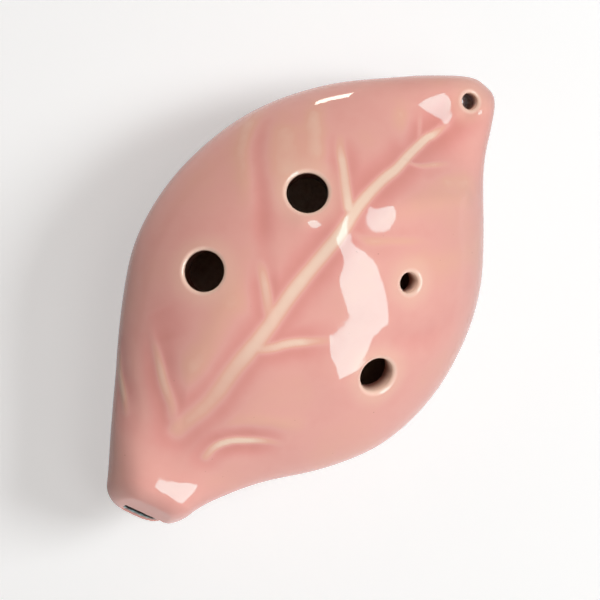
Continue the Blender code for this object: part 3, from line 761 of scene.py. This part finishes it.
def clay_colour(add, place):
    """Fired clay: warm buff, with finer and darker grains."""
    grain = noise(add, place, 900.0, 4.0, 0.65)
    cloud = noise(add, place, 90.0, 3.0)
    value = maths(add, "MULTIPLY_ADD", grain, 0.5, maths(add, "MULTIPLY", cloud, 0.5))
    return ramp(add, value, (
        (0.30, (0.30, 0.17, 0.11)), (0.45, (0.46, 0.29, 0.20)),
        (0.60, (0.56, 0.38, 0.27)), (0.75, (0.64, 0.46, 0.34)),
    )), grain


def pink_glaze():
    """Rose glaze, cream where thin, deeper where it pools; bare clay inside and on the foot; painted shade in
    holes.
    """
    made, shader, add, link = nodes_of("pink_glaze_skin")
    place = add("TexCoord").outputs["Object"]
    names = "tone", "rim", "depth", "foot", "wide"
    tone, rim, depth, foot, wide = (add("Attribute", attribute_name=name).outputs["Fac"] for name in names)
    mottle = noise(add, place, 70.0, 3.0, 0.55)
    fine = noise(add, place, 420.0)
    value = maths(add, "MULTIPLY_ADD", tone, 0.5, 0.32)
    value = maths(add, "MULTIPLY_ADD", mottle, 0.30, value)
    value = maths(add, "MULTIPLY_ADD", fine, 0.06, value)
    colour = ramp(add, value, (
        (0.12, (0.60, 0.225, 0.19)), (0.36, (0.67, 0.285, 0.25)), (0.52, (0.70, 0.34, 0.292)),
        (0.68, (0.70, 0.365, 0.28)), (0.97, (0.77, 0.57, 0.45)),
    ))
    colour = mixed(add, eased(add, rim, 0.6, 4.8, 0.42, 0.0), colour, (0.74, 0.47, 0.36))
    colour = mixed(add, eased(add, rim, 0.2, 1.2, 0.75, 0.0), colour, (0.84, 0.62, 0.50))
    specks = noise(add, place, 1400.0, 1.0)
    speckled = eased(add, mottle, 0.45, 0.55, 0.0, 1.0)
    dark = maths(add, "MULTIPLY", eased(add, specks, 0.795, 0.82, 0.0, 0.55), speckled)
    colour = mixed(add, dark, colour, (0.30, 0.12, 0.09))
    clay, grain = clay_colour(add, place)
    # Painted shade: the glaze darkens with depth inside bores and openings, and the walls of wide holes and
    # the mouth slot turn nearly black.
    painted_shade_with_depth = mixed(add, eased(add, depth, 0.9, 3.6, 0.0, 1.0), colour, (0.26, 0.09, 0.065))
    painted_dark_wall_shade = mixed(add, eased(add, depth, 0.3, 0.8, 0.0, 1.0), colour, (0.025, 0.006, 0.004))
    colour = mixed(add, wide, painted_shade_with_depth, painted_dark_wall_shade)
    bare = maths(add, "MAXIMUM", eased(add, depth, 3.6, 4.4, 0.0, 1.0), foot)
    # Painted shade: the bare clay turns darker deeper inside the chamber.
    clay = mixed(add, eased(add, depth, 4.0, 6.0, 0.0, 0.75), clay, (0.30, 0.08, 0.05))
    link(mixed(add, bare, colour, clay), "Base Color")
    gloss = eased(add, mottle, 0.3, 0.7, 0.045, 0.085)
    dark_wall = maths(add, "MULTIPLY", wide, eased(add, depth, 0.2, 0.6, 0.0, 0.2))
    narrow = eased(add, wide, 0.2, 0.6, 1.0, 0.0)
    narrow_wall = maths(add, "MULTIPLY", narrow, eased(add, depth, 0.5, 1.5, 0.0, 0.7))
    dull = maths(add, "MAXIMUM", maths(add, "MAXIMUM", narrow_wall, dark_wall), bare)
    link(eased(add, dull, 0.0, 1.0, gloss, 0.75), "Roughness")
    skin = maths(add, "MULTIPLY", noise(add, place, 260.0, 1.0), eased(add, bare, 0.0, 1.0, 1.0, 0.0))
    grit = maths(add, "MULTIPLY", grain, maths(add, "MULTIPLY", bare, 2.0))
    bump = add("Bump", {"Height": maths(add, "ADD", skin, grit), "Strength": 0.12, "Distance": 0.0003})
    link(bump.outputs[0], "Normal")
    shader.inputs["IOR"].default_value = GLAZE_IOR
    return made


def bisque_clay(name, glazed_outside=False):
    """Bare fired clay, with a skin of glaze on the outside if asked."""
    made, shader, add, link = nodes_of(name)
    place = add("TexCoord").outputs["Object"]
    colour, grain = clay_colour(add, place)
    rough = eased(add, grain, 0.3, 0.7, 0.7, 0.9)
    if glazed_outside:
        depth = add("Attribute", attribute_name="depth").outputs["Fac"]
        skin = eased(add, depth, 0.15, 0.5, 1.0, 0.0)
        colour = mixed(add, skin, colour, (0.69, 0.35, 0.308))
        rough = eased(add, skin, 0.0, 1.0, rough, 0.07)
    link(colour, "Base Color")
    link(rough, "Roughness")
    bump = add("Bump", {"Height": grain, "Strength": 0.35, "Distance": 0.0002})
    link(bump.outputs[0], "Normal")
    return made


# --- The pieces -------------------------------------------------------------------------------------
whole = body_surface()
glaze = pink_glaze()
shell("upper_shell_glazed", 1, whole, glaze, "upper_shell")
shell("lower_shell_glazed", -1, whole, glaze, "lower_shell")


def clay_piece(name, field, low, high, cell, material, node):
    """A piece meshed from its own field, between two corners in mm."""
    points, quads, normals = surface(field, low, high, cell)
    depth = np.maximum(-distance(outer_radius, *leaf_coordinates(points)), 0)
    mesh = new_mesh(name, points, quads, normals, {"depth": depth})
    return add_object(name, mesh, take_normals(mesh).tolist(), material, [node])


grain_only = bisque_clay("bisque_clay_grain")
corners = (-62, -12, 5), (-34, 12, 32)
clay_piece("windway_block_clay", block_field, *corners, BLOCK_CELL, grain_only, "windway_block")
under_glaze = bisque_clay("bisque_clay_skin", True)
corners = (-34, -8, 0), (-17, 10, 12)
clay_piece("labium_clay", labium_field, *corners, LABIUM_CELL, under_glaze, "labium")


# --- Camera, lights and floor -----------------------------------------------------------------------
# The camera is set so that the leaf lies in the picture as it does in the photograph. Distances are in metres.
TARGET = Vector((-0.00584, -0.00116, 0.0133))
CAMERA_DISTANCE, LAMP_DISTANCE = 0.45, 0.9
# How far the view leans from straight above, towards +X and +Y, and how far it is turned.
LEAN_X, LEAN_Y, TURN = math.radians(-5.0), math.radians(11.0), math.radians(50.46)
SENSOR, LENS = 36.0, 131.07  # mm
BACK = Vector((math.tan(LEAN_X), math.tan(LEAN_Y), 1.0)).normalized()
along_x = (Vector((1, 0, 0)) - BACK * BACK.x).normalized()
along_y = BACK.cross(along_x)
RIGHT = math.cos(TURN) * along_x - math.sin(TURN) * along_y
UP = math.sin(TURN) * along_x + math.cos(TURN) * along_y

AMBIENT = (0.07, 0.048, 0.034)
# The floor's colour where it is seen, what it passes on to the ocarina, and the glow added where seen.
FLOOR_SEEN, FLOOR_BOUNCE, FLOOR_LIFT = (0.925, 0.955, 0.965), (0.35, 0.35, 0.35), 0.50
HALF_FLOOR = 2.0
FLOOR_FADE = (0.12, 1.2)  # from where to where it turns plain white, too slowly to show a line in the glaze
# The softbox lights the glaze with one lamp, and is mirrored in it as another, a little further off.
LIGHT_RADIANCE, SHEEN_RADIANCE, SHEEN_TINT, SHEEN_SCALE = 0.6, 8.0, (0.42, 0.98, 1.0), 1.03
STREAK_PLACE, STREAK_DISTANCE = (89.5, 32.0), 0.05  # mm along and degrees over the dome, and metres


def frame_of(right, up, back, place):
    """The matrix of something that stands at place with these axes."""
    made = Matrix((right, up, back)).transposed().to_4x4()
    made.translation = place
    return made


def add_camera():
    camera = bpy.data.objects.new("camera", bpy.data.cameras.new("camera"))
    camera.data.sensor_width = SENSOR
    camera.data.lens = LENS
    camera.data.clip_start = 0.01
    camera.matrix_world = frame_of(RIGHT, UP, BACK, TARGET + CAMERA_DISTANCE * BACK)
    bpy.context.scene.collection.objects.link(camera)
    bpy.context.scene.camera = camera


def from_camera(right, up, back):
    """A direction given by how far it goes to the camera's right, up and back."""
    return (right * RIGHT + up * UP + back * BACK).normalized()


def add_panel(name, direction, distance, facing, long_axis, size, radiance, colour=(1, 1, 1)):
    """A flat lamp at this distance from the ocarina, turned to face against facing."""
    light = bpy.data.lights.new(name, "AREA")
    light.shape = "RECTANGLE"
    light.size, light.size_y = size
    light.color = colour
    light.energy = radiance * math.pi * size[0] * size[1]
    panel = bpy.data.objects.new(name, light)
    x = (long_axis - facing * long_axis.dot(facing)).normalized()
    panel.matrix_world = frame_of(x, facing.cross(x), facing, TARGET + direction * distance)
    bpy.context.scene.collection.objects.link(panel)
    return panel


def seeing_rays(tree):
    """1 for camera, glossy and transmission rays, else 0."""
    path = tree.nodes.new("ShaderNodeLightPath")
    total = path.outputs["Is Camera Ray"]
    for kind in ("Is Glossy Ray", "Is Transmission Ray"):
        node = tree.nodes.new("ShaderNodeMath")
        node.operation = "MAXIMUM"
        tree.links.new(total, node.inputs[0])
        tree.links.new(path.outputs[kind], node.inputs[1])
        total = node.outputs[0]
    return total


def mix_shaders(tree, share, first, second):
    node = tree.nodes.new("ShaderNodeMixShader")
    tree.links.new(share, node.inputs[0])
    tree.links.new(first, node.inputs[1])
    tree.links.new(second, node.inputs[2])
    return node.outputs[0]


def emission(tree, colour):
    node = tree.nodes.new("ShaderNodeEmission")
    node.inputs["Color"].default_value = (*colour, 1)
    return node.outputs[0]


def diffuse(tree, colour):
    node = tree.nodes.new("ShaderNodeBsdfDiffuse")
    node.inputs["Color"].default_value = (*colour, 1)
    return node.outputs[0]


def floor_material():
    """Pale paper, nearly white where it is lit and white further out, to the camera and in reflections."""
    made = bpy.data.materials.new("pale_paper")
    made.use_nodes = True
    tree = made.node_tree
    tree.nodes.clear()
    lifted = tree.nodes.new("ShaderNodeAddShader")
    tree.links.new(diffuse(tree, FLOOR_SEEN), lifted.inputs[0])
    tree.links.new(emission(tree, (FLOOR_LIFT,) * 3), lifted.inputs[1])
    seen = seeing_rays(tree)
    near = mix_shaders(tree, seen, diffuse(tree, FLOOR_BOUNCE), lifted.outputs[0])
    geometry = tree.nodes.new("ShaderNodeNewGeometry")
    length = tree.nodes.new("ShaderNodeVectorMath")
    length.operation = "LENGTH"
    tree.links.new(geometry.outputs["Position"], length.inputs[0])
    far = tree.nodes.new("ShaderNodeMapRange")
    far.interpolation_type = "SMOOTHSTEP"
    far.inputs["From Min"].default_value, far.inputs["From Max"].default_value = FLOOR_FADE
    tree.links.new(length.outputs["Value"], far.inputs["Value"])
    white = tree.nodes.new("ShaderNodeMath")
    white.operation = "MULTIPLY"
    tree.links.new(far.outputs[0], white.inputs[0])
    tree.links.new(seen, white.inputs[1])
    out = tree.nodes.new("ShaderNodeOutputMaterial")
    shown = mix_shaders(tree, white.outputs[0], near, emission(tree, (1, 1, 1)))
    tree.links.new(shown, out.inputs["Surface"])
    return made


FLOORS = bpy.data.collections.new("floors")


def add_floor():
    mesh = bpy.data.meshes.new("floor")
    corners = [(x * HALF_FLOOR, y * HALF_FLOOR, 0) for x, y in ((-1, -1), (1, -1), (1, 1), (-1, 1))]
    mesh.from_pydata(corners, [], [(0, 1, 2, 3)])
    mesh.materials.append(floor_material())
    floor = bpy.data.objects.new("floor", mesh)
    bpy.context.scene.collection.objects.link(floor)
    FLOORS.objects.link(floor)


def add_world():
    """Dim light from all round, which the camera, the glaze's reflections and clear things see as white."""
    world = bpy.data.worlds.new("world")
    bpy.context.scene.world = world
    world.use_nodes = True
    tree = world.node_tree
    tree.nodes.clear()
    dim, white = (tree.nodes.new("ShaderNodeBackground") for _ in range(2))
    dim.inputs["Color"].default_value = (*AMBIENT, 1)
    white.inputs["Color"].default_value = (1, 1, 1, 1)
    seen = seeing_rays(tree)
    shown = mix_shaders(tree, seen, dim.outputs[0], white.outputs[0])
    out = tree.nodes.new("ShaderNodeOutputWorld")
    tree.links.new(shown, out.inputs["Surface"])


def add_lights():
    """The softbox, the fills, the lamp that places the floor's shadow, and the strip for the streak."""
    # The softbox's place, facing and size come from the fit to the photographed reflections.
    toward, facing = from_camera(0.535, -0.184, 0.825), from_camera(0.46, -0.088, 0.884)
    long_axis, size = from_camera(0.334, -0.905, -0.264), (1.01, 0.41)
    even = add_panel("softbox", toward, LAMP_DISTANCE, facing, long_axis, size, LIGHT_RADIANCE)
    even.visible_glossy = False
    behind, larger = LAMP_DISTANCE * SHEEN_SCALE, (size[0] * SHEEN_SCALE, size[1] * SHEEN_SCALE)
    mirrored = "softbox_sheen", toward, behind, facing, long_axis, larger
    sheen = add_panel(*mirrored, SHEEN_RADIANCE, SHEEN_TINT)
    sheen.visible_diffuse = False
    for name, direction, width, radiance, colour, lit in (
        ("side_lamp", (0.85, -0.26, 0.46), 0.4, 7.5, (0.97, 1.0, 1.03), PIECES),
        ("back_fill", (0.02, 0.70, 0.71), 0.5, 7.8, (1.0, 0.96, 0.93), PIECES),
        ("front_fill", (0.20, -0.88, 0.43), 0.5, 6.6, (1.0, 1.0, 1.0), PIECES),
        ("floor_lamp", (0.88, 0.10, 0.40), 0.35, 12.0, (1.0, 1.0, 1.0), FLOORS),
    ):
        toward = from_camera(*direction)
        lamp = add_panel(name, toward, LAMP_DISTANCE, toward, RIGHT, (width, width), radiance, colour)
        lamp.visible_glossy = False
        lamp.light_linking.receiver_collection = lit
    # A short strip of light just past the long edge, which the glaze there mirrors as a streak.
    along, over = STREAK_PLACE
    edge = Vector(on_dome(np.array([along]), np.radians([over]))[0]) * MM
    away = from_camera(0.03, 0.98, -0.21)
    middle = edge + away * STREAK_DISTANCE - TARGET
    where = middle.normalized(), middle.length
    strip = add_panel("edge_strip", *where, away, RIGHT, (0.016, 0.006), 13.0, (1.0, 0.97, 0.82))
    strip.visible_diffuse = False


add_camera()
add_world()
add_floor()
add_lights()

bpy.context.scene.view_settings.view_transform = "Standard"
